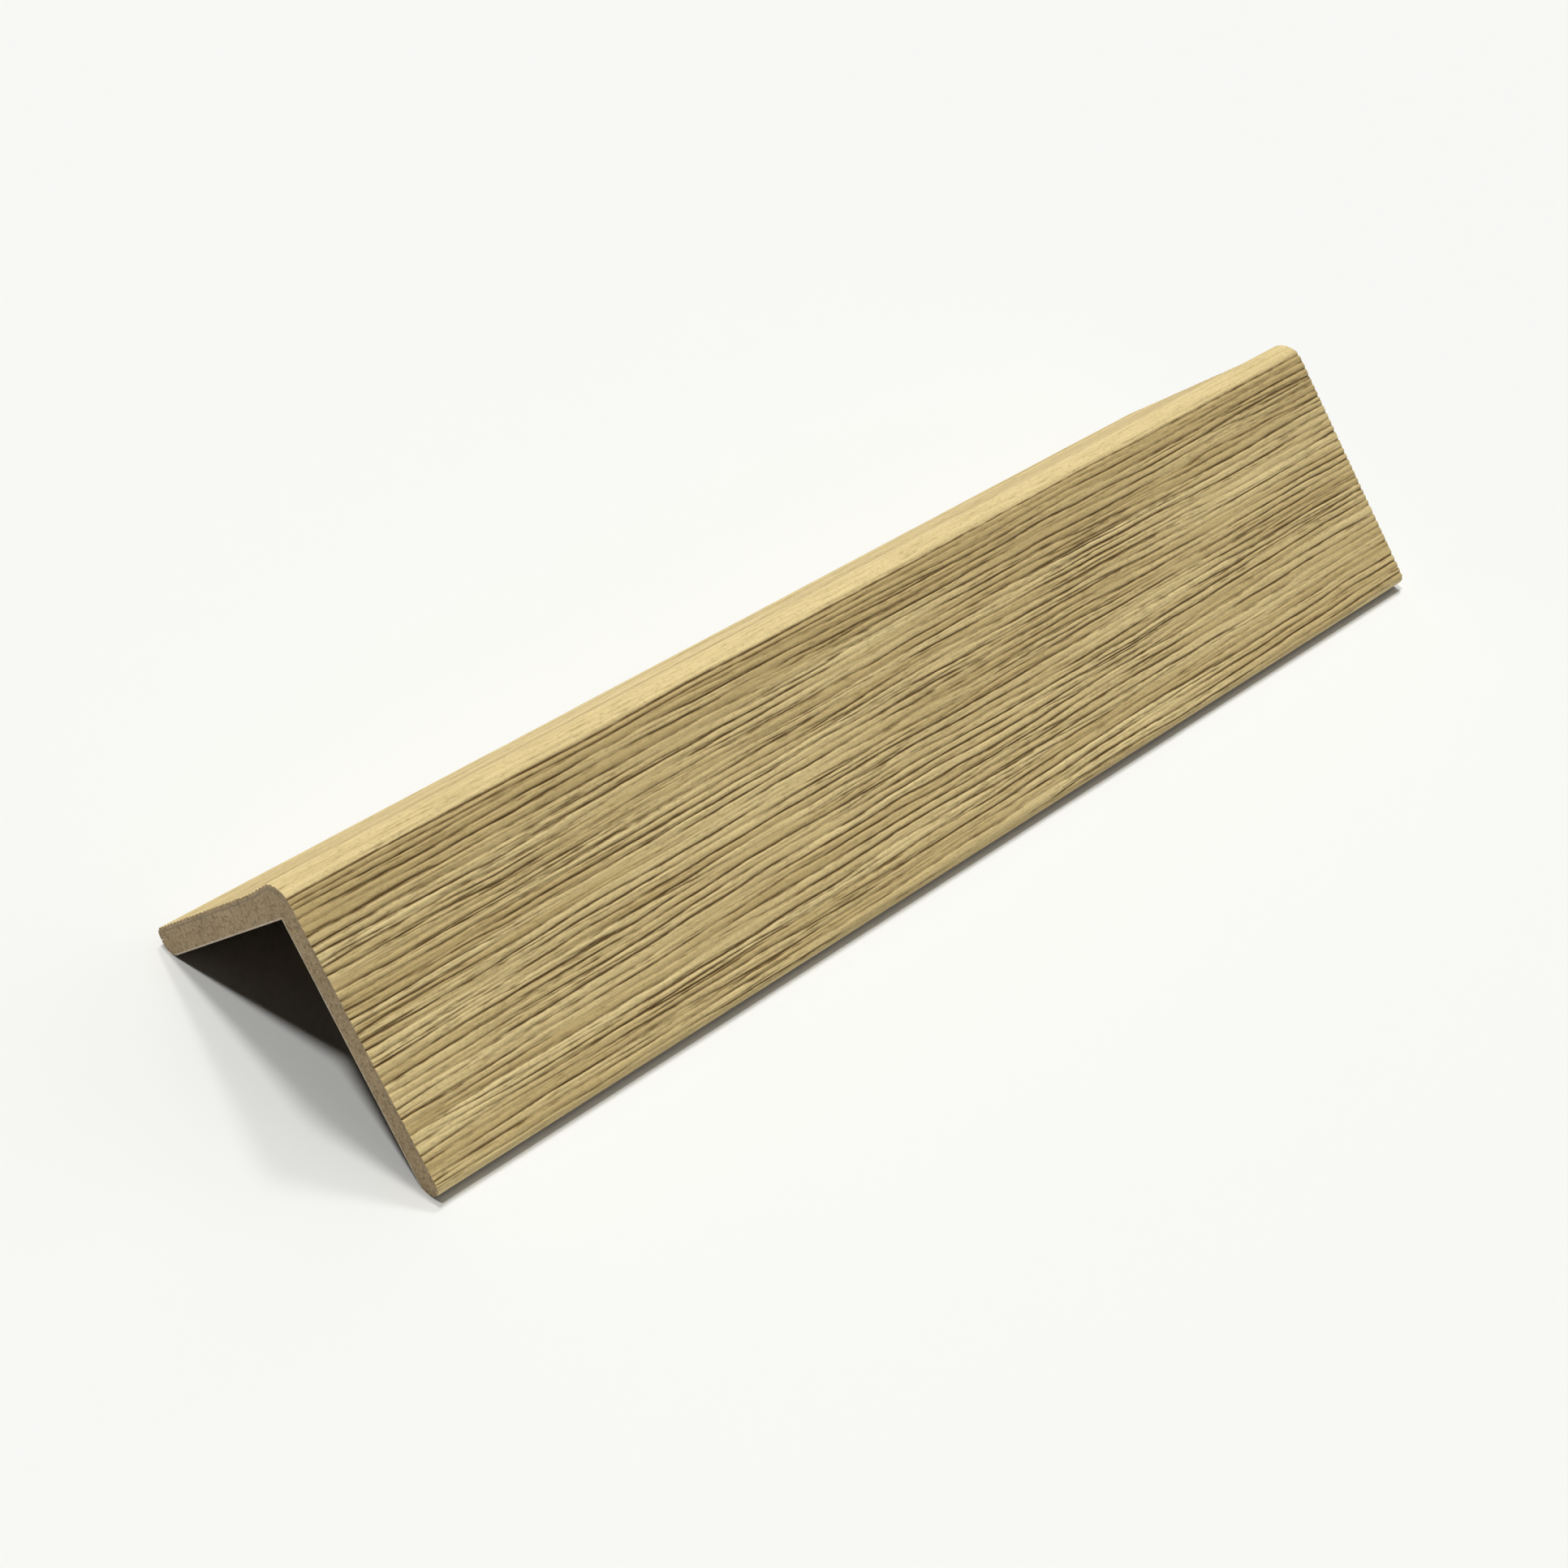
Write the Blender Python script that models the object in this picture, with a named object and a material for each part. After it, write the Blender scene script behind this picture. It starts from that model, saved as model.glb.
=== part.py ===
"""Threshold strip: an L-shaped wood-plastic profile wrapped in embossed wood-grain film.

Metres, +Z up. The strip stands on its two tips with the corner on top and its length along Y.
The origin is on the surface it stands on, under the middle of the strip.
"""

import math

import bmesh
import bpy
from mathutils import Matrix, Vector

# Overall sizes, over the film
LENGTH = 0.208
LEG = 0.045
WALL = 0.0045

# Corner nose: its round, how far it stands proud of the left face, and where that face runs into it
NOSE_RADIUS = 0.0042
NOSE_RISE = 0.0008
NOSE_RUN = 0.010
NOSE_BLEND = 0.003

# Tips: the round on the outer edge, the larger one on the inner edge, and the least flat that a
# thin wall leaves between the outer round and the film's edge
TIP_OUTER_RADIUS = 0.0015
TIP_INNER_RADIUS = 0.0025
TIP_FLAT = 0.0001

# Film: its thickness and how far short of the tip's inner round it ends
FILM_THICKNESS = 0.0006
FILM_SETBACK = 0.0003

# Glue line between film and core, and the clearance on either side of it
GLUE_THICKNESS = 0.0001
GLUE_CLEARANCE = 0.00002

# Clearance between the film's edge and the step in the core that it ends at
SEAT_CLEARANCE = 0.0001

# Segments in each round
NOSE_STEPS = 24
BLEND_STEPS = 6
TIP_OUTER_STEPS = 8
TIP_INNER_STEPS = 10

COLLECTION = "threshold_strip"
CORE_LOOK = ("wood_plastic", (0.17, 0.125, 0.085, 1.0), 0.8)
GLUE_LOOK = ("hot_melt_glue", (0.55, 0.42, 0.22, 1.0), 0.45)
FILM_LOOK = ("wood_grain_film", (0.48, 0.35, 0.165, 1.0), 0.5)


def clear_scene():
    """Remove every object of the startup scene."""
    for obj in list(bpy.data.objects):
        bpy.data.objects.remove(obj, do_unlink=True)


def material(look):
    """Make one Principled material from a (name, colour, roughness) entry."""
    name, colour, roughness = look
    made = bpy.data.materials.new(name)
    made.use_nodes = True
    shader = made.node_tree.nodes["Principled BSDF"]
    shader.inputs["Base Color"].default_value = colour
    shader.inputs["Roughness"].default_value = roughness
    shader.inputs["Metallic"].default_value = 0.0
    made.diffuse_color = colour
    return made


def lift():
    """Height of the sharp outer corner above the surface that the tips stand on."""
    return (LEG + WALL - 2 * TIP_INNER_RADIUS) / math.sqrt(2) + TIP_INNER_RADIUS


def on_leg(along, depth):
    """Section point on the right leg, by distance from the corner and depth below the face."""
    across = (along - depth) / math.sqrt(2)
    return Vector((across, lift() - (along + depth) / math.sqrt(2)))


def arc(centre, radius, start, end, steps):
    """Points from one angle to the other, in degrees, ends included."""
    points = []
    for step in range(steps + 1):
        angle = math.radians(start + (end - start) * step / steps)
        points.append(centre + radius * Vector((math.cos(angle), math.sin(angle))))
    return points


def film_edge_depth():
    """Depth below the face, on the tip's end, where the film stops."""
    return WALL - TIP_INNER_RADIUS - FILM_SETBACK


def mirrored(points):
    """The same points on the other leg, in the opposite order."""
    return [Vector((-point.x, point.y)) for point in reversed(points)]


def tip_line():
    """Outer line of the film round the right tip, from the face to the film's edge."""
    radius = min(TIP_OUTER_RADIUS, film_edge_depth() - TIP_FLAT)
    outer = on_leg(LEG - radius, radius)
    round_edge = arc(outer, radius, 45, -45, TIP_OUTER_STEPS)
    return round_edge + [on_leg(LEG, film_edge_depth())]


def nose_line():
    """Outer line of the film over the corner: the bend and ramp on the left face, and the round."""
    tilt = math.atan2(NOSE_RISE, NOSE_RUN)
    ramp_normal = Vector((-math.cos(math.pi / 4 - tilt), math.sin(math.pi / 4 - tilt)))
    far, bend = mirrored([on_leg(NOSE_RUN, 0), on_leg(NOSE_RUN + NOSE_BLEND, 0)])
    start = on_leg(0, NOSE_RADIUS)
    along = on_leg(1, NOSE_RADIUS) - start
    reach = ((bend - start).dot(ramp_normal) - NOSE_RADIUS) / along.dot(ramp_normal)
    nose_round = arc(start + along * reach, NOSE_RADIUS, 135 + math.degrees(tilt), 45, NOSE_STEPS)
    near = bend + (nose_round[0] - bend).normalized() * NOSE_BLEND
    ramp = []
    for step in range(BLEND_STEPS + 1):
        part = step / BLEND_STEPS
        ramp.append(far.lerp(bend, part).lerp(bend.lerp(near, part), part))
    return ramp + nose_round


def face_line():
    """Outer line of the film from its edge on the left leg to its edge on the right."""
    return mirrored(tip_line()) + nose_line() + tip_line()


def inward(line, distance):
    """The line moved towards the core by a constant distance."""
    normals = []
    for start, end in zip(line, line[1:]):
        run = (end - start).normalized()
        normals.append(Vector((-run.y, run.x)))
    moved = []
    for index, point in enumerate(line):
        one = normals[max(index - 1, 0)]
        two = normals[min(index, len(normals) - 1)]
        moved.append(point - (one + two) * distance / (1 + one.dot(two)))
    return moved


def layer(line, outer_depth, thickness):
    """Closed outline of a layer under the face line."""
    return inward(line, outer_depth) + inward(line, outer_depth + thickness)[::-1]


def core_outline(line, depth):
    """Closed outline of the core: the covered side, the bare tips and the inner angle."""
    covered = inward(line, depth)
    step_depth = film_edge_depth() + SEAT_CLEARANCE
    bare_tip = [on_leg(LEG - depth, step_depth), on_leg(LEG, step_depth)]
    inner = on_leg(LEG - TIP_INNER_RADIUS, WALL - TIP_INNER_RADIUS)
    bare_tip += arc(inner, TIP_INNER_RADIUS, -45, -135, TIP_INNER_STEPS)
    inner_corner = on_leg(WALL, WALL)
    return mirrored(bare_tip) + covered[1:-1] + bare_tip + [inner_corner]


def extruded(name, outline, look, collection):
    """Fill a section outline, extrude it over the length and keep it as a mesh object."""
    curve = bpy.data.curves.new(name, "CURVE")
    curve.dimensions = "2D"
    curve.fill_mode = "BOTH"
    curve.extrude = LENGTH / 2
    spline = curve.splines.new("POLY")
    spline.points.add(len(outline) - 1)
    for target, point in zip(spline.points, outline):
        target.co = (point.x, point.y, 0, 1)
    spline.use_cyclic_u = True
    sketch = bpy.data.objects.new(name + "_sketch", curve)
    bpy.context.scene.collection.objects.link(sketch)
    bpy.context.view_layer.update()
    graph = bpy.context.evaluated_depsgraph_get()
    mesh = bpy.data.meshes.new_from_object(sketch.evaluated_get(graph))
    mesh.transform(Matrix.Rotation(math.pi / 2, 4, "X"))
    bpy.data.objects.remove(sketch, do_unlink=True)
    bpy.data.curves.remove(curve)
    mesh.name = name
    mesh.materials.clear()
    mesh.materials.append(material(look))
    solid = bmesh.new()
    solid.from_mesh(mesh)
    bmesh.ops.remove_doubles(solid, verts=solid.verts, dist=1e-6)
    bmesh.ops.recalc_face_normals(solid, faces=solid.faces)
    solid.to_mesh(mesh)
    solid.free()
    made = bpy.data.objects.new(name, mesh)
    collection.objects.link(made)
    return made


def build():
    """Build the core, the glue line and the film in one collection."""
    clear_scene()
    collection = bpy.data.collections.new(COLLECTION)
    bpy.context.scene.collection.children.link(collection)
    line = face_line()
    glue_depth = FILM_THICKNESS + GLUE_CLEARANCE
    core_depth = glue_depth + GLUE_THICKNESS + GLUE_CLEARANCE
    extruded("profile_core", core_outline(line, core_depth), CORE_LOOK, collection)
    extruded("glue_layer", layer(line, glue_depth, GLUE_THICKNESS), GLUE_LOOK, collection)
    extruded("decor_film", layer(line, 0, FILM_THICKNESS), FILM_LOOK, collection)


build()
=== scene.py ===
"""Looks of the threshold strip: wood-plastic core, glue line and embossed wood-grain film.

Metres, +Z up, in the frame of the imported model.
"""

import math

import bpy
import numpy as np
from bpy.props import FloatProperty, FloatVectorProperty, IntProperty, PointerProperty
from mathutils import Matrix, Vector, noise


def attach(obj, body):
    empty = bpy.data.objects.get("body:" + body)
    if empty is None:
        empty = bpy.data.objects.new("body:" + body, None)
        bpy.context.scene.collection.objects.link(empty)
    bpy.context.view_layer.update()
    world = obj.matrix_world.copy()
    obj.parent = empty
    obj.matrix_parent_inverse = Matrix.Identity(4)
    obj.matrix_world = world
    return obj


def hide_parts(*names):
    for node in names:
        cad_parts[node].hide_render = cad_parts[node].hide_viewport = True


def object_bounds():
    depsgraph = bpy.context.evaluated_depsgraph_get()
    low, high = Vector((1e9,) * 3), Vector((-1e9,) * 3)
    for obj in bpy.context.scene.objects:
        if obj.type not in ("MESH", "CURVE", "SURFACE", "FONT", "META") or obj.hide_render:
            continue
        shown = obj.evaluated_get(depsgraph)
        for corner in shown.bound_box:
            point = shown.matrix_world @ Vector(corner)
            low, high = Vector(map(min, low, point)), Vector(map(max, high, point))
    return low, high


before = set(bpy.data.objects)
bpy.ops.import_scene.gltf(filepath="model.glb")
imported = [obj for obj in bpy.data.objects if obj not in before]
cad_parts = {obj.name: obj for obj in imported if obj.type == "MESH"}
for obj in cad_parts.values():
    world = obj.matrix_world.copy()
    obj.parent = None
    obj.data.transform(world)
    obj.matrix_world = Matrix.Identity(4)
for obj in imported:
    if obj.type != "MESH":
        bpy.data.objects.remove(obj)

bl_info = {
    "name": "Threshold Strip",
    "version": (1, 0, 0),
    "blender": (4, 5, 0),
    "location": "View3D > Sidebar > Strip",
    "description": "Builds an L-shaped threshold strip wrapped in embossed wood-grain film",
    "category": "Object",
}

CAD_LOW, CAD_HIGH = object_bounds()
MM = 0.001

# Segments in the rounds of the section
TIP_OUTER_STEPS = 8
TIP_INNER_STEPS = 14
NOSE_STEPS = 24
BLEND_STEPS = 6

# Meshing: what counts as a sawn face, as one point and as an end, and the edges shaded smooth
CUT_NORMAL = 0.9
MERGE_DISTANCE = 1e-7
END_TOLERANCE = 1e-6
EXTRUDED_SMOOTH_ANGLE = math.radians(32)
FILM_SMOOTH_ANGLE = math.radians(60)

# Material slots of the core: its sawn ends, the painted highlight on their inner arris, and the
# extruded skin, darkened further as painted shade
SAWN_SLOT = 0
ARRIS_HIGHLIGHT_SLOT = 1
SKIN_AND_SHADE_SLOT = 2

# Scales of the materials' noise per metre, across, along and up the strip
BAND_SCALE = (90, 7, 90)
FIBRE_SCALE = (2600, 90, 2600)
PORE_SCALE = (3400, 1500, 3400)
RAGGED_SCALE = (3000, 330, 3000)
CLOUD_SCALE = (160, 160, 160)
DARK_FLECK_SCALE = (2300, 900, 2300)
PALE_FLECK_SCALE = (2600, 1100, 2600)
HIGHLIGHT_BREAK_SCALE = (1500, 1500, 1500)
STREAK_SCALE = (700, 90, 700)

# Finishes: heights of the fine relief, strengths of the flecks, shine and roughness
FIBRE_RELIEF = 0.00012
PORE_RELIEF = 0.00007
FLECK_RELIEF = 0.00008
FIBRE_ROUGHNESS = 0.08
CUT_FLECKS = 1.0
SKIN_FLECKS = 0.15
CORE_SHINE = 0.12
GLUE_ROUGHNESS = 0.5
FLOOR_ROUGHNESS = 0.9

# Wander of the grain lines: how far, the width and length of its waves, and a seed
SWAYS = (
    (1.3 * MM, 14 * MM, 110 * MM, 3.3),
    (0.5 * MM, 4.5 * MM, 26 * MM, 9.7),
    (1.2 * MM, 5 * MM, 34 * MM, 1.4),
    (0.2 * MM, 1.5 * MM, 8 * MM, 6.1),
)
NOSE_SWAY = (0.3 * MM, 1, 24 * MM, 2.6)

# Sets of lines: pitch and width as shares of the main lines' own, a seed, and a share of each sway
MAIN_LINES = (1.0, 1.0, 0.37, (1, 1, 0, 1))
CROSSING_LINES = (0.75, 0.85, 5.2, (1, -0.5, 1, 1))
FINE_LINES = (0.5, 0.7, 7.9, (1, 1.3, -0.7, -1))

# Strength, busyness and tone of the lines: means, and variations as for a sway, less a set's seed
LINE_STRENGTH = 0.65
LINE_VARIATION = (1.4, 0.61, 20 * MM)
BUSY_MEAN = 0.45
BUSY_LEAST = 0.15
BUSY_VARIATION = (1.3, 6 * MM, 42 * MM, 1.9)
TONE_MEAN = 0.5
TONE_VARIATION = (0.9, 0.73, 50 * MM, 4.7)
CROSSING_LEAST = 0.3
FINE_DARKNESS = 0.6
SWELL_SHARPNESS = 4

# Patches of a face: distances from the corner and the near end, and half sizes the same ways
DENSE_PATCH = (13 * MM, 45 * MM, 4 * MM, 55 * MM)
PALE_PATCH = (21 * MM, 76 * MM, 4 * MM, 26 * MM)
DENSE_BUSIER = 0.5
DENSE_DARKER = 0.3
PALE_PALER = 0.55

# Tips: a bare strip at the film's edge, its soft end, and the weaker grain that follows
TIP_BARE = 0.5 * MM
TIP_SOFT = 1.5 * MM
TIP_GRAIN = 0.6
TIP_RUN = 9 * MM

# Nose: places across it from the corner line, where the right face is positive
NOSE_START = -3.5 * MM
NOSE_START_SOFT = 0.4 * MM
NOSE_SHOULDER = 1.1 * MM
NOSE_SHOULDER_WIDTH = 0.6 * MM
NOSE_END = 1.7 * MM
NOSE_END_SOFT = 0.3 * MM
NOSE_FIRST_LINE = 1.8 * MM
NOSE_SECOND_LINE = 2.7 * MM
FACE_GRAIN_START = 2.6 * MM
FACE_GRAIN_SOFT = 1 * MM
FACE_SHADE_END = 9 * MM
FACE_SHADE_SOFT = 5 * MM

# Nose: its grain, the painted light on it and the painted shade on the face beside it, and the
# width, wander and fading of its two lines
NOSE_GRAIN = 0.25
NOSE_PAINTED_LIGHT = 0.7
FACE_PAINTED_SHADE = 0.75
NOSE_LINE_WIDTH = 1.4
NOSE_SECOND_SWAY = 1.5
NOSE_SECOND_DEPTH = 0.85
NOSE_FADE_END = 168 * MM
NOSE_FADE_RUN = 80 * MM
NOSE_FADED = 0.45
NOSE_FIRST_KEPT = 0.3

# Stage: size of the floor, width of the camera's frame in millimetres and nearest distance it sees
FLOOR_SIZE = 6
FRAME_WIDTH = 36
NEAREST_SEEN = 0.01

# Lamps: name, direction they shine from, strength and angle across in degrees
LAMPS = (
    ("lamp_front", (-0.12, -0.20, 0.97), 1.22, 6),
    ("lamp_over", (-0.28, 0.10, 0.95), 1.06, 7),
    ("lamp_behind", (-0.36, 0.36, 0.86), 0.56, 7),
    ("lamp_side", (0.55, 0.50, 0.67), 0.55, 80),
    ("lamp_left", (-0.60, 0.40, 0.69), 0.24, 50),
)


class StripSizes(bpy.types.PropertyGroup):
    """Section of the strip, over the film."""

    length: FloatProperty(
        name="Length", description="Length of the strip", default=0.208, unit="LENGTH"
    )
    leg: FloatProperty(
        name="Leg", description="Corner to tip, along a leg", default=0.045, unit="LENGTH"
    )
    wall: FloatProperty(
        name="Wall", description="Wall over the film", default=0.0045, unit="LENGTH"
    )
    nose_radius: FloatProperty(
        name="Nose Radius", description="Round of the outer corner", default=0.0042, unit="LENGTH"
    )
    nose_rise: FloatProperty(
        name="Nose Rise",
        description="How far the corner stands proud of the left face",
        default=0.0008,
        unit="LENGTH",
    )
    nose_run: FloatProperty(
        name="Nose Run",
        description="Where the left face starts to rise",
        default=0.010,
        unit="LENGTH",
    )
    nose_blend: FloatProperty(
        name="Nose Blend",
        description="Half length of the soft bend there",
        default=0.003,
        unit="LENGTH",
    )
    tip_outer: FloatProperty(
        name="Tip Outer Radius",
        description="Round on a tip's outer edge",
        default=0.0015,
        unit="LENGTH",
    )
    tip_inner: FloatProperty(
        name="Tip Inner Radius",
        description="Round on a tip's inner edge",
        default=0.0025,
        unit="LENGTH",
    )
    tip_flat: FloatProperty(
        name="Tip Flat",
        description="Least flat between the outer round and the film's edge",
        default=0.0001,
        unit="LENGTH",
    )
    film: FloatProperty(
        name="Film", description="Thickness of the film", default=0.0006, unit="LENGTH"
    )
    film_setback: FloatProperty(
        name="Film Setback",
        description="How far short of the tip's inner round the film ends",
        default=0.0003,
        unit="LENGTH",
    )
    glue: FloatProperty(
        name="Glue", description="Thickness of the glue line", default=0.0001, unit="LENGTH"
    )
    clearance: FloatProperty(
        name="Glue Clearance",
        description="Clearance on either side of the glue line",
        default=0.00002,
        unit="LENGTH",
    )
    seat: FloatProperty(
        name="Seat Clearance",
        description="Clearance between the film's edge and the core's step",
        default=0.0001,
        unit="LENGTH",
    )


class FilmLook(bpy.types.PropertyGroup):
    """Colours and embossing of the film."""

    light: FloatVectorProperty(
        name="Light Grain",
        description="Pale straw colour of the raised grain",
        default=(0.835, 0.668, 0.328, 1.0),
        size=4,
        subtype="COLOR",
    )
    mid: FloatVectorProperty(
        name="Mid Grain",
        description="Tan colour of the grain bands",
        default=(0.57, 0.427, 0.186, 1.0),
        size=4,
        subtype="COLOR",
    )
    groove: FloatVectorProperty(
        name="Groove",
        description="Brown in the bottom of the embossed lines",
        default=(0.145, 0.085, 0.024, 1.0),
        size=4,
        subtype="COLOR",
    )
    depth: FloatProperty(
        name="Groove Depth", description="Depth of the main lines", default=0.00021, unit="LENGTH"
    )
    fine_depth: FloatProperty(
        name="Fine Depth", description="Depth of the fine lines", default=0.00008, unit="LENGTH"
    )
    pitch: FloatProperty(
        name="Pitch", description="Mean spacing of the main lines", default=0.00122, unit="LENGTH"
    )
    upper: FloatProperty(
        name="Upper Width", description="Steep side of a line", default=0.00013, unit="LENGTH"
    )
    lower: FloatProperty(
        name="Lower Width", description="Gentle side of a line", default=0.00018, unit="LENGTH"
    )
    swell: FloatProperty(
        name="Swell",
        description="How far the face bulges between lines",
        default=0.00008,
        unit="LENGTH",
    )
    shoulder: FloatProperty(
        name="Shoulder",
        description="How far the nose swells beside its deep lines",
        default=0.00014,
        unit="LENGTH",
    )
    columns: IntProperty(name="Columns", description="Divisions across the film", default=800)
    rows: IntProperty(name="Rows", description="Divisions along the film", default=110)
    roughness: FloatProperty(
        name="Roughness", description="Satin of the film", default=0.52, subtype="FACTOR"
    )
    shine: FloatProperty(
        name="Shine",
        description="Strength of the film's reflections",
        default=0.18,
        subtype="FACTOR",
    )


class CoreLook(bpy.types.PropertyGroup):
    """Colours of the wood-plastic core and the glue line."""

    base: FloatVectorProperty(
        name="Base",
        description="Grey-brown of the wood-plastic",
        default=(0.48, 0.355, 0.205, 1.0),
        size=4,
        subtype="COLOR",
    )
    # Skin: the inner faces' own darker brown, made darker still as painted shade for the dark
    # inside of the strip
    skin: FloatVectorProperty(
        name="Skin",
        description="Darker brown of the extruded inner faces",
        default=(0.07, 0.042, 0.017, 1.0),
        size=4,
        subtype="COLOR",
    )
    dark: FloatVectorProperty(
        name="Dark Fleck",
        description="Dark wood flour flecks",
        default=(0.20, 0.14, 0.075, 1.0),
        size=4,
        subtype="COLOR",
    )
    pale: FloatVectorProperty(
        name="Pale Fleck",
        description="Pale wood flour flecks",
        default=(0.62, 0.51, 0.35, 1.0),
        size=4,
        subtype="COLOR",
    )
    # Colour of the painted highlight along the inner edges of the cut
    arris_highlight: FloatVectorProperty(
        name="Arris",
        description="Pale glint on the inner edges of the cut",
        default=(0.66, 0.58, 0.46, 1.0),
        size=4,
        subtype="COLOR",
    )
    glue: FloatVectorProperty(
        name="Glue",
        description="Amber of the glue line",
        default=(0.30, 0.22, 0.12, 1.0),
        size=4,
        subtype="COLOR",
    )
    # Width of the painted highlight along the inner edges at a cut end
    highlight_rim: FloatProperty(
        name="Rim",
        description="Width of the pale arris at a cut end",
        default=0.00025,
        unit="LENGTH",
    )
    roughness: FloatProperty(
        name="Roughness", description="Dullness of the sawn core", default=0.75, subtype="FACTOR"
    )


class StageLook(bpy.types.PropertyGroup):
    """Floor, lamps and camera."""

    floor: FloatVectorProperty(
        name="Floor",
        description="Pale floor",
        default=(0.89, 0.895, 0.87, 1.0),
        size=4,
        subtype="COLOR",
    )
    backdrop: FloatVectorProperty(
        name="Backdrop",
        description="Pale surroundings as the camera sees them",
        default=(0.955, 0.955, 0.925, 1.0),
        size=4,
        subtype="COLOR",
    )
    fill: FloatProperty(name="Fill", description="Even light from all around", default=0.03)
    aim: FloatVectorProperty(
        name="Aim",
        description="Floor point the camera looks at",
        default=(0.00043, -0.01272, 0.0),
        size=3,
        subtype="TRANSLATION",
    )
    azimuth: FloatProperty(
        name="Azimuth",
        description="Camera's turn from -Y",
        default=math.radians(42.76),
        subtype="ANGLE",
    )
    elevation: FloatProperty(
        name="Elevation",
        description="Camera's height angle",
        default=math.radians(40.93),
        subtype="ANGLE",
    )
    roll: FloatProperty(
        name="Roll",
        description="Camera's tilt to one side",
        default=math.radians(5.07),
        subtype="ANGLE",
    )
    distance: FloatProperty(
        name="Distance", description="Aim point to camera", default=0.41376, unit="LENGTH"
    )
    lens: FloatProperty(
        name="Lens", description="Focal length on a 36 mm wide frame", default=62.155, unit="CAMERA"
    )


# Section of the strip


def on_leg(sizes, along, depth):
    """Section point on the right leg, by distance from the corner and depth below the face."""
    lift = (sizes.leg + sizes.wall - 2 * sizes.tip_inner) / math.sqrt(2) + sizes.tip_inner
    return Vector(((along - depth) / math.sqrt(2), lift - (along + depth) / math.sqrt(2)))


def arc(centre, radius, start, end, steps):
    """Points from one angle to the other, in degrees, ends included."""
    angles = [math.radians(start + (end - start) * step / steps) for step in range(steps + 1)]
    return [centre + radius * Vector((math.cos(angle), math.sin(angle))) for angle in angles]


def mirrored(points):
    """The same points on the other leg, in the opposite order."""
    return [Vector((-point.x, point.y)) for point in reversed(points)]


def film_edge_depth(sizes):
    """Depth below the face, on the tip's end, where the film stops."""
    return sizes.wall - sizes.tip_inner - sizes.film_setback


def tip_line(sizes):
    """Outer line of the film round the right tip, from the face to the film's edge."""
    radius = min(sizes.tip_outer, film_edge_depth(sizes) - sizes.tip_flat)
    outer = on_leg(sizes, sizes.leg - radius, radius)
    round_edge = arc(outer, radius, 45, -45, TIP_OUTER_STEPS)
    return round_edge + [on_leg(sizes, sizes.leg, film_edge_depth(sizes))]


def nose_line(sizes):
    """Outer line of the film over the corner: the bend and ramp on the left face, and the round."""
    tilt = math.atan2(sizes.nose_rise, sizes.nose_run)
    ramp_normal = Vector((-math.cos(math.pi / 4 - tilt), math.sin(math.pi / 4 - tilt)))
    places = (sizes.nose_run, sizes.nose_run + sizes.nose_blend)
    far, bend = mirrored([on_leg(sizes, place, 0) for place in places])
    start = on_leg(sizes, 0, sizes.nose_radius)
    along = on_leg(sizes, 1, sizes.nose_radius) - start
    reach = ((bend - start).dot(ramp_normal) - sizes.nose_radius) / along.dot(ramp_normal)
    nose = start + along * reach
    nose_round = arc(nose, sizes.nose_radius, 135 + math.degrees(tilt), 45, NOSE_STEPS)
    near = bend + (nose_round[0] - bend).normalized() * sizes.nose_blend
    ramp = []
    for step in range(BLEND_STEPS + 1):
        part = step / BLEND_STEPS
        ramp.append(far.lerp(bend, part).lerp(bend.lerp(near, part), part))
    return ramp + nose_round


def face_line(sizes):
    """Outer line of the film, from its edge on the left leg to its edge on the right."""
    return mirrored(tip_line(sizes)) + nose_line(sizes) + tip_line(sizes)


def inward(line, distance):
    """The line moved towards the core by a constant distance."""
    normals = []
    for start, end in zip(line, line[1:]):
        run = (end - start).normalized()
        normals.append(Vector((-run.y, run.x)))
    moved = []
    for index, point in enumerate(line):
        one = normals[max(index - 1, 0)]
        two = normals[min(index, len(normals) - 1)]
        moved.append(point - (one + two) * distance / (1 + one.dot(two)))
    return moved


def core_outline(sizes):
    """Closed outline of the core: the covered side, the bare tips and the inner angle."""
    depth = sizes.film + sizes.glue + 2 * sizes.clearance
    covered = inward(face_line(sizes), depth)
    step_depth = film_edge_depth(sizes) + sizes.seat
    bare_tip = [on_leg(sizes, sizes.leg - depth, step_depth), on_leg(sizes, sizes.leg, step_depth)]
    inner = on_leg(sizes, sizes.leg - sizes.tip_inner, sizes.wall - sizes.tip_inner)
    bare_tip += arc(inner, sizes.tip_inner, -45, -135, TIP_INNER_STEPS)
    return mirrored(bare_tip) + covered[1:-1] + bare_tip + [on_leg(sizes, sizes.wall, sizes.wall)]


def glue_outline(sizes):
    """Closed outline of the glue line."""
    line = face_line(sizes)
    depth = sizes.film + sizes.clearance
    return inward(line, depth) + inward(line, depth + sizes.glue)[::-1]


# Node helpers


def new_material(name):
    """Empty material with a Principled shader; returns it, its tree and the shader."""
    made = bpy.data.materials.new(name)
    made.use_nodes = True
    tree = made.node_tree
    return made, tree, tree.nodes["Principled BSDF"]


def node(tree, kind, inputs=None, **settings):
    """Add a node, set its properties, and set or link its inputs."""
    made = tree.nodes.new(kind)
    for key, value in settings.items():
        setattr(made, key, value)
    for key, value in (inputs or {}).items():
        if isinstance(value, bpy.types.NodeSocket):
            tree.links.new(value, made.inputs[key])
        else:
            made.inputs[key].default_value = value
    return made


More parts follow.
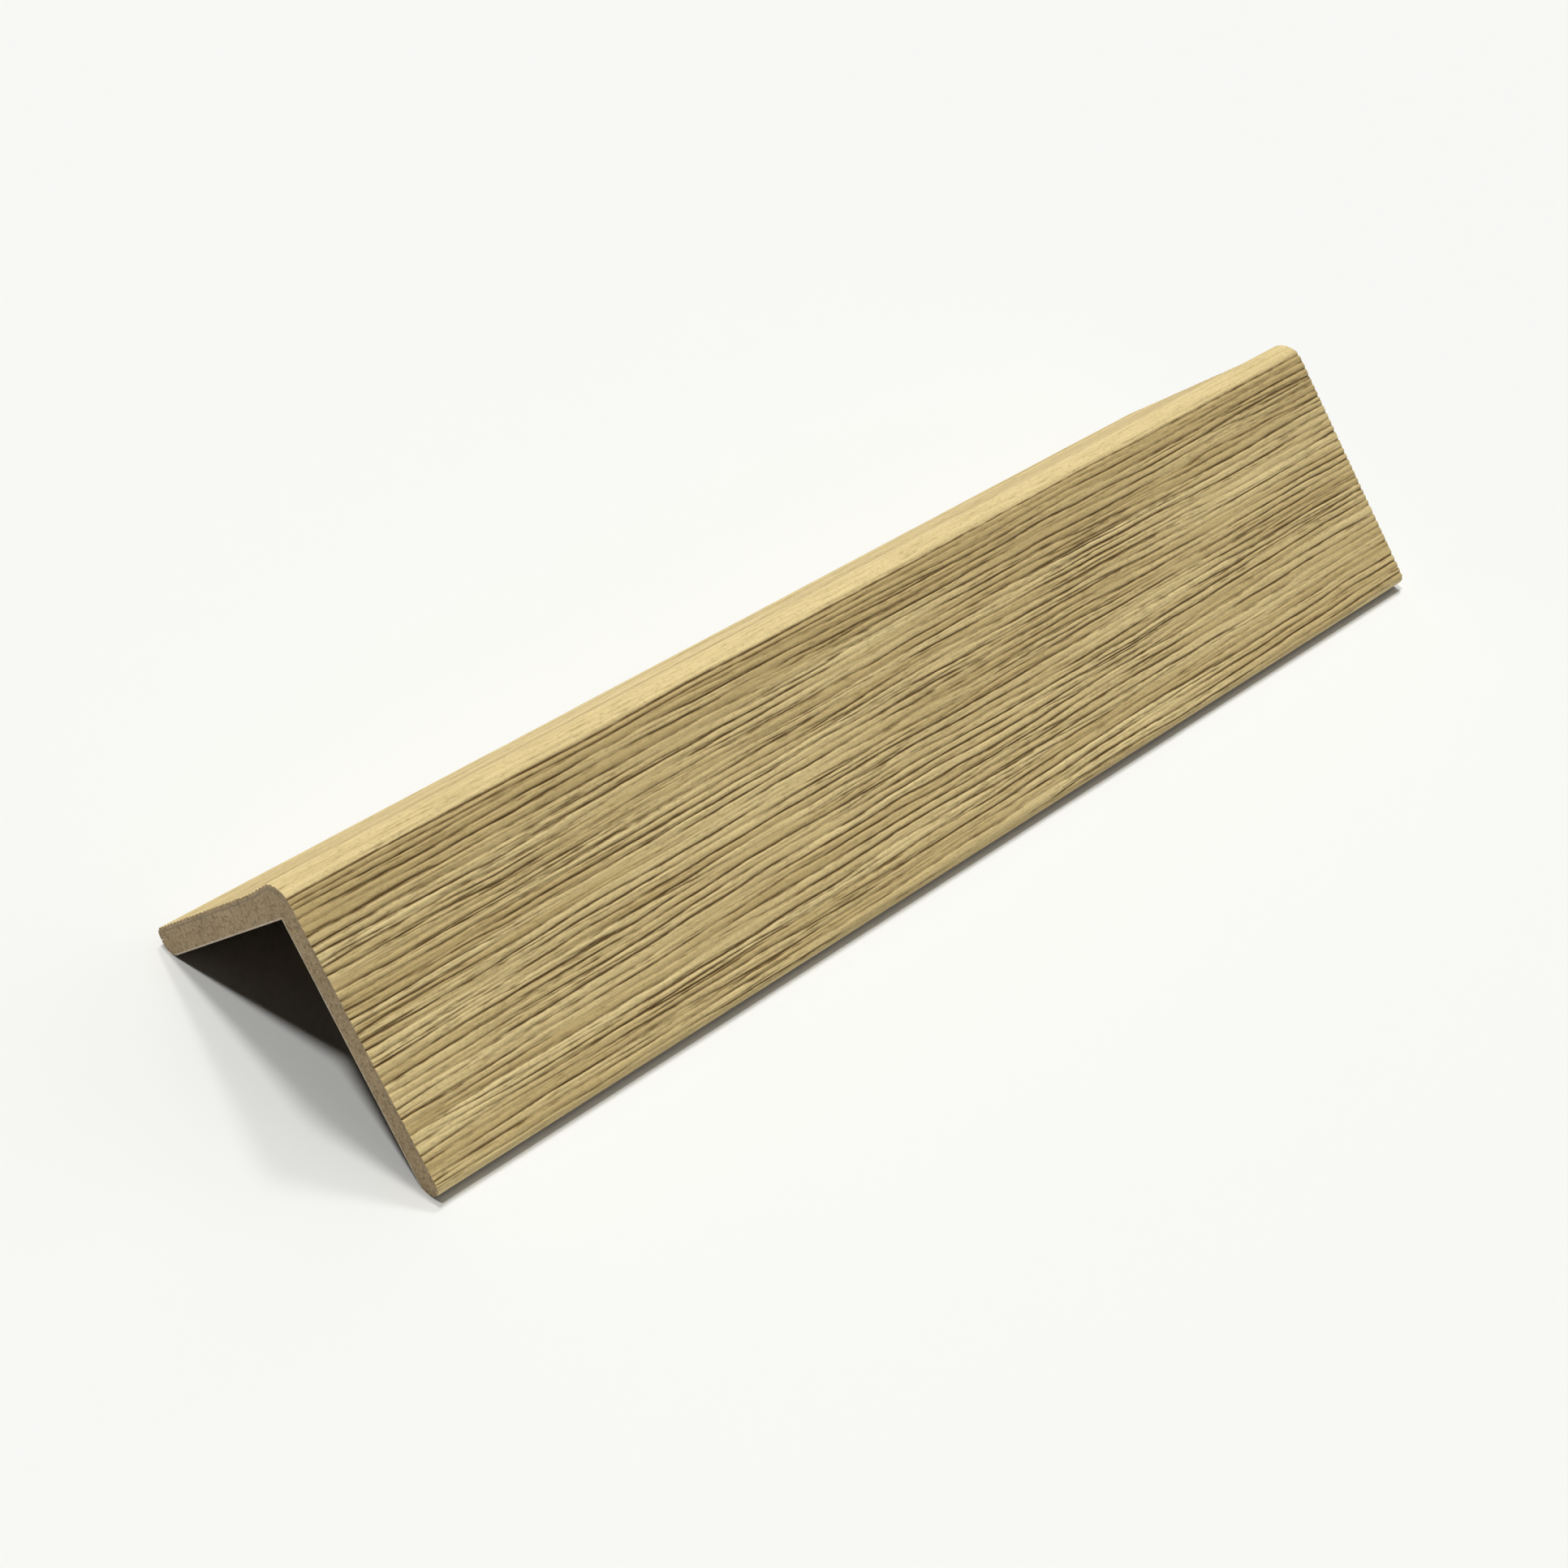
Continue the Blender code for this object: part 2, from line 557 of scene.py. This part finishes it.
def object_noise(tree, scale, detail, rough=0.55, size=1.0):
    """Noise on Object coordinates, stretched by a scale on each axis; returns its value."""
    place = node(tree, "ShaderNodeTexCoord").outputs["Object"]
    mapped = node(tree, "ShaderNodeMapping", {"Vector": place, "Scale": scale}).outputs[0]
    inputs = {"Vector": mapped, "Scale": size, "Detail": detail, "Roughness": rough}
    return node(tree, "ShaderNodeTexNoise", inputs).outputs["Fac"]


def spread(tree, value, low, high, to_low=0.0, to_high=1.0):
    """Map a value from one range to another, clamped at both ends."""
    inputs = {"Value": value, 1: low, 2: high, 3: to_low, 4: to_high}
    return node(tree, "ShaderNodeMapRange", inputs).outputs[0]


def mixed(tree, factor, one, two):
    """Mix two colours."""
    return node(tree, "ShaderNodeMix", {0: factor, 6: one, 7: two}, data_type="RGBA").outputs[2]


def bump(tree, height, strength, distance, normal=None):
    """Bump from a height value, on top of another one where it is given."""
    inputs = {"Height": height, "Strength": strength, "Distance": distance}
    if normal is not None:
        inputs["Normal"] = normal
    return node(tree, "ShaderNodeBump", inputs).outputs[0]


# Materials


def film_material(look):
    """Satin wood-grain film: straw and tan bands, fibres, pores and broken brown lines."""
    made, tree, shader = new_material("wood_grain_film")
    bands = object_noise(tree, BAND_SCALE, 3)
    tone = node(tree, "ShaderNodeAttribute", attribute_name="tone").outputs["Fac"]
    colour = mixed(tree, spread(tree, bands, 0.35, 0.65, 0.3, 0.0), look.light[:], look.mid[:])
    # The tone attribute also holds painted light on the nose and painted shade on the face beside
    # it
    colour = mixed(tree, spread(tree, tone, 0.1, 0.9, 0.95, 0.0), colour, look.mid[:])
    fibres = object_noise(tree, FIBRE_SCALE, 4, 0.62)
    colour = mixed(tree, spread(tree, fibres, 0.36, 0.58, 0.22, 0.0), colour, look.groove[:])
    pores = object_noise(tree, PORE_SCALE, 2)
    colour = mixed(tree, spread(tree, pores, 0.52, 0.74, 0.0, 0.28), colour, look.groove[:])
    grain = node(tree, "ShaderNodeAttribute", attribute_name="grain").outputs["Fac"]
    ragged = spread(tree, object_noise(tree, RAGGED_SCALE, 2), 0.3, 0.7, -0.3, 0.3)
    broken = node(tree, "ShaderNodeMath", {0: grain, 1: ragged}, operation="ADD").outputs[0]
    colour = mixed(tree, spread(tree, broken, 0.2, 0.8, 0.0, 0.96), colour, look.groove[:])
    tree.links.new(colour, shader.inputs["Base Color"])
    dullest = look.roughness + FIBRE_ROUGHNESS
    rough = spread(tree, fibres, 0.3, 0.7, dullest, look.roughness - FIBRE_ROUGHNESS)
    tree.links.new(rough, shader.inputs["Roughness"])
    shader.inputs["Specular IOR Level"].default_value = look.shine
    normal = bump(tree, fibres, 0.5, FIBRE_RELIEF)
    normal = bump(tree, pores, 0.35, PORE_RELIEF, normal)
    tree.links.new(normal, shader.inputs["Normal"])
    return made


def core_material(look, base, flecks, name):
    """Wood-plastic of a base colour with dark and pale flecks of a given strength."""
    made, tree, shader = new_material(name)
    cloud = object_noise(tree, CLOUD_SCALE, 2)
    colour = mixed(tree, spread(tree, cloud, 0.35, 0.65, 0.0, 0.3 * flecks), base, look.dark[:])
    dark = object_noise(tree, DARK_FLECK_SCALE, 3, 0.6)
    colour = mixed(tree, spread(tree, dark, 0.50, 0.64, 0.0, 0.85 * flecks), colour, look.dark[:])
    pale = object_noise(tree, PALE_FLECK_SCALE, 2, 0.5, 1.13)
    colour = mixed(tree, spread(tree, pale, 0.55, 0.70, 0.0, 0.7 * flecks), colour, look.pale[:])
    tree.links.new(colour, shader.inputs["Base Color"])
    shader.inputs["Roughness"].default_value = look.roughness
    shader.inputs["Specular IOR Level"].default_value = CORE_SHINE
    tree.links.new(bump(tree, dark, 0.4, FLECK_RELIEF), shader.inputs["Normal"])
    return made


def arris_highlight_material(look):
    """Pale arris that the saw leaves on the inner edges."""
    # Painted highlight on the arris along the inner edges of the cut.
    made, tree, shader = new_material("cut_arris_highlight")
    highlight_breaks = object_noise(tree, HIGHLIGHT_BREAK_SCALE, 2)
    colour = mixed(tree, spread(tree, highlight_breaks, 0.35, 0.6), look.base[:], look.arris_highlight[:])
    tree.links.new(colour, shader.inputs["Base Color"])
    shader.inputs["Roughness"].default_value = look.roughness
    return made


def glue_material(look):
    """Dull amber glue line."""
    made, tree, shader = new_material("hot_melt_glue")
    streaks = object_noise(tree, STREAK_SCALE, 2)
    colour = mixed(tree, spread(tree, streaks, 0.3, 0.7, 0.0, 0.4), look.glue[:], look.dark[:])
    tree.links.new(colour, shader.inputs["Base Color"])
    shader.inputs["Roughness"].default_value = GLUE_ROUGHNESS
    return made


def floor_material(look):
    """Plain pale floor."""
    made, _, shader = new_material("pale_floor")
    shader.inputs["Base Color"].default_value = look.floor[:]
    shader.inputs["Roughness"].default_value = FLOOR_ROUGHNESS
    shader.inputs["Specular IOR Level"].default_value = 0.0
    return made


# Pieces


def start(name):
    """Give the object that an operator just added its name, and return it."""
    made = bpy.context.object
    made.name = name
    made.data.name = name
    return made


def extruded_section(name, outline, length):
    """Disc primitive moved onto a section outline and extruded along the strip."""
    bpy.ops.object.select_all(action="DESELECT")
    bpy.ops.mesh.primitive_circle_add(vertices=len(outline), radius=1, fill_type="NGON")
    made = start(name)
    for vertex, point in zip(made.data.vertices, outline):
        vertex.co = (point.x, -length / 2, point.y)
    bpy.ops.object.mode_set(mode="EDIT")
    bpy.ops.mesh.select_all(action="SELECT")
    bpy.ops.mesh.extrude_region_move(TRANSFORM_OT_translate={"value": (0, length, 0)})
    bpy.ops.mesh.select_all(action="SELECT")
    bpy.ops.mesh.normals_make_consistent(inside=False)
    bpy.ops.object.mode_set(mode="OBJECT")
    return made


def select_faces(made, wanted):
    """Select the faces that a test picks, and enter edit mode."""
    bpy.ops.object.mode_set(mode="EDIT")
    bpy.ops.mesh.select_mode(type="FACE")
    bpy.ops.mesh.select_all(action="DESELECT")
    bpy.ops.object.mode_set(mode="OBJECT")
    for face in made.data.polygons:
        face.select = wanted(face)
    bpy.ops.object.mode_set(mode="EDIT")


def finish_piece(made, nodes):
    """Let a piece ride on the strip's one body and stand for its nodes."""
    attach(made, "root")
    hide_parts(*nodes)


def is_cut(face):
    """Whether a face lies on one of the two sawn ends."""
    return abs(face.normal.y) > CUT_NORMAL


def build_core(sizes, look):
    """Core with sawn ends, a painted highlight along their inner edges and an extruded skin
    darkened further as painted shade.
    """
    made = extruded_section("core_piece", core_outline(sizes), sizes.length)
    made.data.materials.append(core_material(look, look.base[:], CUT_FLECKS, "wood_plastic"))
    made.data.materials.append(arris_highlight_material(look))
    made.data.materials.append(core_material(look, look.skin[:], SKIN_FLECKS, "extruded_skin_painted_shade"))
    inset = on_leg(sizes, sizes.wall - look.highlight_rim, sizes.wall - look.highlight_rim)
    for side in (1, -1):
        select_faces(made, is_cut)
        bpy.ops.mesh.bisect(plane_co=(0, 0, inset.y), plane_no=(side, 0, 1))
    bpy.ops.object.mode_set(mode="OBJECT")
    for face in made.data.polygons:
        # Faces off the cuts take the skin, darkened further as painted shade
        face.material_index = SKIN_AND_SHADE_SLOT
        if is_cut(face):
            # Cut faces near the inner edges take the painted highlight
            low = abs(face.center.x) + face.center.z < inset.y
            face.material_index = ARRIS_HIGHLIGHT_SLOT if low else SAWN_SLOT
    bpy.ops.object.shade_smooth_by_angle(angle=EXTRUDED_SMOOTH_ANGLE)
    finish_piece(made, ["profile_core"])


def build_glue(sizes, look):
    """Glue line between core and film."""
    made = extruded_section("glue_piece", glue_outline(sizes), sizes.length)
    made.data.materials.append(glue_material(look))
    bpy.ops.object.shade_smooth_by_angle(angle=EXTRUDED_SMOOTH_ANGLE)
    finish_piece(made, ["glue_layer"])


def even_points(line, count):
    """Points at even distances along a line, their outward normals and their distances."""
    points = np.array([point[:] for point in line])
    runs = np.concatenate([[0], np.cumsum(np.linalg.norm(np.diff(points, axis=0), axis=1))])
    at = np.linspace(0, runs[-1], count)
    even = np.stack([np.interp(at, runs, points[:, axis]) for axis in (0, 1)], axis=1)
    along = np.gradient(even, axis=0)
    along /= np.linalg.norm(along, axis=1)[:, None]
    return even, np.stack([-along[:, 1], along[:, 0]], axis=1), at


def varied(across, along, reach, wide, long, seed):
    """Perlin noise of a reach on a grid of places, with waves of a width and a length."""
    shape = np.broadcast(across, along).shape
    one = np.broadcast_to(across / wide, shape).ravel()
    two = np.broadcast_to(along / long, shape).ravel()
    values = [noise.noise(Vector((a, b, seed))) for a, b in zip(one, two)]
    return reach * np.array(values).reshape(shape)


def bell(offset, width):
    """1 at no offset, falling away to both sides over a width."""
    return np.exp(-((offset / width) ** 2))


def rise(place, start, run):
    """0 up to a start, rising to 1 over a run."""
    return np.clip((place - start) / run, 0, 1)


def patch(across, along, middle, far, half_width, half_length):
    """Soft patch of a face: 1 in its middle, 0 well outside."""
    return bell(across - middle, half_width) * bell(along - far, half_length)


def grooves(look, across, along, sways, lines):
    """One set of wandering lines: their share of the full depth, and the count of lines passed."""
    pitch_share, width_share, seed, shares = lines
    place = across + sum(share * sway for share, sway in zip(shares, sways))
    pitch = pitch_share * look.pitch
    passed = place / pitch
    line = np.rint(passed)
    gap = (passed - line) * pitch
    strength = LINE_STRENGTH + varied(line, along, *LINE_VARIATION, seed)
    width = width_share * np.where(gap > 0, look.lower, look.upper)
    return bell(gap, width) * np.clip(strength, 0, 1), passed


def nose_lines(look, across, along):
    """Two deep lines where the nose runs into the right face, both weaker towards the far end."""
    sway = varied(across * 0, along, *NOSE_SWAY)
    width = NOSE_LINE_WIDTH * look.upper
    fade = np.clip((NOSE_FADE_END - along) / NOSE_FADE_RUN, NOSE_FADED, 1)
    first = bell(across - NOSE_FIRST_LINE + sway, width) * np.clip(fade + NOSE_FIRST_KEPT, 0, 1)
    second = bell(across - NOSE_SECOND_LINE + NOSE_SECOND_SWAY * sway, width) * fade
    return np.maximum(first, NOSE_SECOND_DEPTH * second)


def tone_and_painted_light(across, along, passed, dense):
    """Tone of the film from 0, tan, to 1, straw: bands between lines, patches, painted light on the
    nose and painted shade on the face beside it.
    """
    pale = patch(np.abs(across), along, *PALE_PATCH)
    tone = TONE_MEAN + varied(np.floor(passed), along, *TONE_VARIATION)
    tone = tone + PALE_PALER * pale - DENSE_DARKER * dense
    # Painted light on the nose, and painted shade on the face just past its lines
    past_nose = rise(across, NOSE_END, NOSE_END_SOFT)
    shade = past_nose * rise(-across, -FACE_SHADE_END, FACE_SHADE_SOFT)
    painted_light_on_nose = (1 - past_nose) * rise(across, NOSE_START, NOSE_START_SOFT)
    return np.clip(tone - FACE_PAINTED_SHADE * shade + NOSE_PAINTED_LIGHT * painted_light_on_nose, 0, 1)


def embossing(look, across, along):
    """Depth, darkness and tone of the embossed grain at every point of the film; the tone also
    holds painted light on the nose and painted shade beside it.
    """
    edge = np.minimum(across - across[0], across[-1] - across)[None, :]
    across = across[None, :]
    along = along[:, None]
    from_corner = np.abs(across)
    sways = [varied(across, along, *sway) for sway in SWAYS]
    main, passed = grooves(look, across, along, sways, MAIN_LINES)
    crossing = grooves(look, across, along, sways, CROSSING_LINES)[0]
    fine = grooves(look, across, along, sways, FINE_LINES)[0]
    nose = nose_lines(look, across, along)
    dense = patch(from_corner, along, *DENSE_PATCH)
    busy = BUSY_MEAN + varied(across, along, *BUSY_VARIATION) + DENSE_BUSIER * dense
    busy = np.clip(busy, BUSY_LEAST, 1)
    calm = np.clip(TIP_GRAIN + edge / TIP_RUN, 0, 1) * rise(edge, TIP_BARE, TIP_SOFT)
    past_nose = rise(from_corner, FACE_GRAIN_START, FACE_GRAIN_SOFT)
    on_face = calm * np.maximum(past_nose, NOSE_GRAIN)
    crossing = crossing * (CROSSING_LEAST + (1 - CROSSING_LEAST) * busy)
    lines = np.maximum(main, crossing) * on_face
    fine = fine * busy * on_face
    swell = np.cos(math.pi * passed) ** SWELL_SHARPNESS * calm
    depth = look.depth * np.maximum(lines, nose) + look.swell * swell + look.fine_depth * fine
    depth = depth - look.shoulder * bell(across - NOSE_SHOULDER, NOSE_SHOULDER_WIDTH)
    dark = np.maximum(np.maximum(lines, FINE_DARKNESS * fine), nose)
    return depth, dark, tone_and_painted_light(across, along, passed, dense)


def wrapped_grid(name, columns, rows):
    """Grid of columns round the section and rows along it, and the column and row of each point."""
    bpy.ops.object.select_all(action="DESELECT")
    bpy.ops.mesh.primitive_grid_add(x_subdivisions=columns, y_subdivisions=rows, size=2)
    made = start(name)
    flat = np.empty(len(made.data.vertices) * 3)
    made.data.vertices.foreach_get("co", flat)
    flat = flat.reshape(-1, 3)
    column = np.rint((flat[:, 0] + 1) / 2 * columns).astype(int)
    row = np.rint((flat[:, 1] + 1) / 2 * rows).astype(int)
    return made, column, row


def close_film(made, length):
    """Merge the seam where the grid meets itself, and fill both ends."""
    bpy.ops.object.mode_set(mode="EDIT")
    bpy.ops.mesh.select_all(action="SELECT")
    bpy.ops.mesh.remove_doubles(threshold=MERGE_DISTANCE)
    for end in (-length / 2, length / 2):
        bpy.ops.mesh.select_mode(type="VERT")
        bpy.ops.mesh.select_all(action="DESELECT")
        bpy.ops.object.mode_set(mode="OBJECT")
        for vertex in made.data.vertices:
            vertex.select = abs(vertex.co.y - end) < END_TOLERANCE
        bpy.ops.object.mode_set(mode="EDIT")
        bpy.ops.mesh.edge_face_add()
    bpy.ops.mesh.select_all(action="SELECT")
    bpy.ops.mesh.normals_make_consistent(inside=False)
    bpy.ops.object.mode_set(mode="OBJECT")


def build_film(sizes, look, core_look):
    """Grid wrapped round the section, embossed with wandering lines and closed at the ends."""
    line = face_line(sizes)
    outer, normals, across = even_points(line, look.columns + 1)
    inner = np.array([point[:] for point in inward(line, sizes.film)])[::-1]
    loop = np.concatenate([outer, inner, outer[:1]])
    along = np.linspace(0, sizes.length, look.rows + 1)
    depth, dark, tone = embossing(look, across - across[outer[:, 1].argmax()], along)
    made, column, row = wrapped_grid("film_piece", len(loop) - 1, look.rows)
    seam = column == len(loop) - 1
    on_face = (column <= look.columns) | seam
    at_face = (row[on_face], np.where(seam, 0, column)[on_face])
    section = loop[column]
    section[on_face] -= normals[at_face[1]] * depth[at_face][:, None]
    placed = np.stack([section[:, 0], along[row] - sizes.length / 2, section[:, 1]], axis=1)
    made.data.vertices.foreach_set("co", placed.ravel())
    for name, values in (("grain", dark), ("tone", tone)):
        stored = np.zeros(len(column), np.float32)
        stored[on_face] = values[at_face]
        made.data.attributes.new(name, "FLOAT", "POINT").data.foreach_set("value", stored)
    close_film(made, sizes.length)
    made.data.materials.append(film_material(look))
    made.data.materials.append(core_material(core_look, core_look.base[:], CUT_FLECKS, "film_cut"))
    for face in made.data.polygons:
        face.material_index = 1 if is_cut(face) else 0
    bpy.ops.object.shade_smooth_by_angle(angle=FILM_SMOOTH_ANGLE)
    finish_piece(made, ["decor_film"])


# Stage


def add_sun(name, towards, strength, angle):
    """Sun lamp that shines from a direction."""
    data = bpy.data.lights.new(name, "SUN")
    data.energy = strength
    data.angle = math.radians(angle)
    lamp = bpy.data.objects.new(name, data)
    bpy.context.scene.collection.objects.link(lamp)
    lamp.rotation_euler = Vector(towards).to_track_quat("Z", "Y").to_euler()


def build_world(look):
    """Even fill light, seen by the camera as the pale backdrop."""
    world = bpy.data.worlds.new("studio")
    bpy.context.scene.world = world
    world.use_nodes = True
    tree = world.node_tree
    tree.nodes.clear()
    path = node(tree, "ShaderNodeLightPath").outputs
    seen = path["Is Camera Ray"]
    for ray in ("Is Glossy Ray", "Is Transmission Ray"):
        seen = node(tree, "ShaderNodeMath", {0: seen, 1: path[ray]}, operation="MAXIMUM").outputs[0]
    light = node(tree, "ShaderNodeBackground", {"Color": (1, 1, 1, 1), "Strength": look.fill})
    pale = node(tree, "ShaderNodeBackground", {"Color": look.backdrop[:], "Strength": 1.0})
    either = node(tree, "ShaderNodeMixShader", {0: seen, 1: light.outputs[0], 2: pale.outputs[0]})
    node(tree, "ShaderNodeOutputWorld", {"Surface": either.outputs[0]})


def build_camera(look):
    """Camera at the photograph's angle."""
    data = bpy.data.cameras.new("camera")
    data.lens = look.lens
    data.sensor_width = FRAME_WIDTH
    data.clip_start = NEAREST_SEEN
    camera = bpy.data.objects.new("camera", data)
    bpy.context.scene.collection.objects.link(camera)
    level = math.cos(look.elevation)
    across = math.sin(look.azimuth) * level
    along = -math.cos(look.azimuth) * level
    back = Vector((across, along, math.sin(look.elevation)))
    turn = back.to_track_quat("Z", "Y").to_matrix().to_4x4()
    roll = Matrix.Rotation(look.roll, 4, "Z")
    camera.matrix_world = Matrix.Translation(Vector(look.aim) + back * look.distance) @ turn @ roll
    bpy.context.scene.camera = camera


def build_stage(look):
    """Floor, lamps, backdrop and camera."""
    bpy.ops.object.select_all(action="DESELECT")
    bpy.ops.mesh.primitive_plane_add(size=FLOOR_SIZE, location=(0, 0, CAD_LOW.z))
    floor = start("floor")
    floor.data.materials.append(floor_material(look))
    for lamp in LAMPS:
        add_sun(*lamp)
    build_world(look)
    build_camera(look)
    bpy.context.scene.view_settings.view_transform = "Standard"


# Operators and panel


class STRIP_OT_core(bpy.types.Operator):
    """Build the wood-plastic core"""

    bl_idname = "strip.core"
    bl_label = "Build Core"

    def execute(self, context):
        build_core(context.scene.strip_sizes, context.scene.strip_core)
        return {"FINISHED"}


class STRIP_OT_glue(bpy.types.Operator):
    """Build the glue line"""

    bl_idname = "strip.glue"
    bl_label = "Build Glue Line"

    def execute(self, context):
        build_glue(context.scene.strip_sizes, context.scene.strip_core)
        return {"FINISHED"}


class STRIP_OT_film(bpy.types.Operator):
    """Build the embossed wood-grain film"""

    bl_idname = "strip.film"
    bl_label = "Build Film"

    def execute(self, context):
        scene = context.scene
        build_film(scene.strip_sizes, scene.strip_film, scene.strip_core)
        return {"FINISHED"}


class STRIP_OT_stage(bpy.types.Operator):
    """Build the floor, lamps and camera"""

    bl_idname = "strip.stage"
    bl_label = "Build Stage"

    def execute(self, context):
        build_stage(context.scene.strip_stage)
        return {"FINISHED"}


class STRIP_PT_panel(bpy.types.Panel):
    """Lists the operators and the sizes and colours they use"""

    bl_idname = "STRIP_PT_panel"
    bl_label = "Threshold Strip"
    bl_space_type = "VIEW_3D"
    bl_region_type = "UI"
    bl_category = "Strip"

    def draw(self, context):
        layout = self.layout
        for group in (
            context.scene.strip_sizes,
            context.scene.strip_core,
            context.scene.strip_film,
            context.scene.strip_stage,
        ):
            box = layout.box()
            for name in group.__annotations__:
                box.prop(group, name)
        for operator in (STRIP_OT_core, STRIP_OT_glue, STRIP_OT_film, STRIP_OT_stage):
            layout.operator(operator.bl_idname)


CLASSES = (
    StripSizes,
    FilmLook,
    CoreLook,
    StageLook,
    STRIP_OT_core,
    STRIP_OT_glue,
    STRIP_OT_film,
    STRIP_OT_stage,
    STRIP_PT_panel,
)


def register():
    """Register the classes and hang the property groups on the scene."""
    for made in CLASSES:
        bpy.utils.register_class(made)
    bpy.types.Scene.strip_sizes = PointerProperty(type=StripSizes)
    bpy.types.Scene.strip_film = PointerProperty(type=FilmLook)
    bpy.types.Scene.strip_core = PointerProperty(type=CoreLook)
    bpy.types.Scene.strip_stage = PointerProperty(type=StageLook)


def unregister():
    """Undo register."""
    del bpy.types.Scene.strip_stage
    del bpy.types.Scene.strip_core
    del bpy.types.Scene.strip_film
    del bpy.types.Scene.strip_sizes
    for made in reversed(CLASSES):
        bpy.utils.unregister_class(made)


def main():
    """Build every piece and the stage."""
    register()
    bpy.ops.strip.core()
    bpy.ops.strip.glue()
    bpy.ops.strip.film()
    bpy.ops.strip.stage()
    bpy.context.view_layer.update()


if __name__ == "__main__":
    main()
